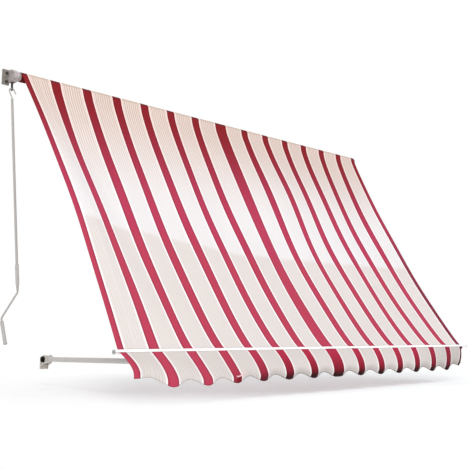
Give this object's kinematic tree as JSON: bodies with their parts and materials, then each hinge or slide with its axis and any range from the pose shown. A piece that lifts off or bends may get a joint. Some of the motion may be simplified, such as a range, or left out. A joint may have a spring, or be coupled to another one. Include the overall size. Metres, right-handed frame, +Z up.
{
  "type": "fabric awning",
  "caption": "Crank-driven drop-arm awning: striped fabric on a wall-mounted roller with a worm gear, pivoting side arms, a round front bar and a scalloped valance.",
  "frame": {"origin": "on the back face of the gear's wall plate, level with the roller's axis", "axes": "+X along the wall from the gear end to the idle end, +Y into the wall, +Z up"},
  "size_m": [2.4848, 0.9562, 1.3248],
  "materials": {
    "striped_cloth": "woven acrylic, matte",
    "welt_cord": "plain",
    "dark_coated_steel": "satin coat",
    "cast_metal": "die cast, dull",
    "black_steel": "blackened",
    "bright_steel": "zinc plated",
    "bronze": "plain",
    "grey_coated_steel": "satin coat",
    "grey_coated_aluminium": "satin coat",
    "white_coated_aluminium": "satin coat",
    "black_plastic": "moulded",
    "grey_plastic": "moulded"
  },
  "bodies": {
    "wall_side": {"gear_wall_bracket": "dark_coated_steel", "gear_housing": "cast_metal", "gear_cover": "cast_metal", "gear_mount_screw_lower": "bright_steel", "gear_mount_screw_upper": "bright_steel", "cover_screw_1": "bright_steel", "cover_screw_2": "bright_steel", "cover_screw_3": "bright_steel", "worm_bush": "bronze", "idle_wall_bracket": "dark_coated_steel", "idle_bush": "black_plastic", "canopy": "striped_cloth", "arm_wall_bracket_left": "grey_coated_steel", "arm_wall_bracket_right": "grey_coated_steel", "pivot_bolt_left": "bright_steel", "pivot_bolt_right": "bright_steel", "pivot_cap_left_left": "black_plastic", "pivot_cap_left_right": "black_plastic", "pivot_cap_right_left": "black_plastic", "pivot_cap_right_right": "black_plastic"},
    "roller": {"roller_tube": "bright_steel", "fabric_roll": "striped_cloth", "drive_plug": "grey_plastic", "idle_plug": "grey_plastic", "worm_wheel": "bronze"},
    "worm": {"worm_shaft": "black_steel"},
    "crank": {"crank_hook": "bright_steel", "crank_ferrule": "grey_plastic", "crank_rod": "grey_coated_steel", "crank_handle_rod": "bright_steel", "crank_grip_cap": "grey_plastic"},
    "upper_grip": {"crank_upper_grip": "grey_plastic"},
    "lower_grip": {"crank_lower_grip": "grey_plastic"},
    "left_arm": {"arm_tube_left": "grey_coated_aluminium", "arm_wall_fitting_left": "grey_coated_aluminium", "arm_front_fitting_left": "grey_coated_aluminium"},
    "right_arm": {"arm_tube_right": "grey_coated_aluminium", "arm_wall_fitting_right": "grey_coated_aluminium", "arm_front_fitting_right": "grey_coated_aluminium"},
    "front_bar": {"front_bar": "white_coated_aluminium", "bar_end_cap_left": "grey_plastic", "bar_end_cap_right": "grey_plastic", "canopy_welt_rod": "welt_cord", "valance_welt_rod": "welt_cord", "valance": "striped_cloth", "bar_bracket_left": "grey_coated_aluminium", "bar_bracket_right": "grey_coated_aluminium", "bar_bracket_screw_left": "bright_steel", "bar_bracket_screw_right": "bright_steel", "bar_pin_left": "bright_steel", "bar_pin_right": "bright_steel"}
  },
  "joints": [
    {"name": "arm_fold", "type": "hinge", "parent": "wall_side", "child": "left_arm", "pos_m": [0.257, -0.025, -1.235], "axis": [-1, 0, 0], "range_deg": [0, 86], "deforming": ["canopy"]},
    {"name": "right_arm_fold", "type": "hinge", "parent": "wall_side", "child": "right_arm", "pos_m": [2.215, -0.025, -1.235], "axis": [-1, 0, 0], "range_deg": [0, 86]},
    {"name": "bar_pivot", "type": "hinge", "parent": "left_arm", "child": "front_bar", "pos_m": [0.257, -0.81444, -1.20536], "axis": [-1, 0, 0], "range_deg": [-86, 0]},
    {"name": "roller_turn", "type": "hinge", "parent": "wall_side", "child": "roller", "pos_m": [1.236, -0.04, 0], "axis": [-1, 0, 0], "range_deg": [0, 2520]},
    {"name": "worm_turn", "type": "hinge", "parent": "wall_side", "child": "worm", "pos_m": [0.024, -0.018, 0], "axis": [0, 0, 1], "range_deg": [0, 17640]},
    {"name": "crank_swing", "type": "hinge", "parent": "worm", "child": "crank", "pos_m": [0.024, -0.018, -0.0554], "axis": [-0.7071, 0.7071, 0], "range_deg": [0, 25]},
    {"name": "upper_grip_turn", "type": "hinge", "parent": "crank", "child": "upper_grip", "pos_m": [0.09128, -0.018, -0.82446], "axis": [0.0872, 0, -0.9962], "continuous": true},
    {"name": "lower_grip_turn", "type": "hinge", "parent": "crank", "child": "lower_grip", "pos_m": [0.03464, -0.018, -1.07234], "axis": [0.225, 0, -0.9744], "continuous": true}
  ],
  "couplings": [
    {"joint": "right_arm_fold", "follows": "arm_fold", "ratio": 1},
    {"joint": "bar_pivot", "follows": "arm_fold", "ratio": -1},
    {"joint": "roller_turn", "follows": "arm_fold", "ratio": 29.302},
    {"joint": "worm_turn", "follows": "arm_fold", "ratio": 205.12}
  ]
}
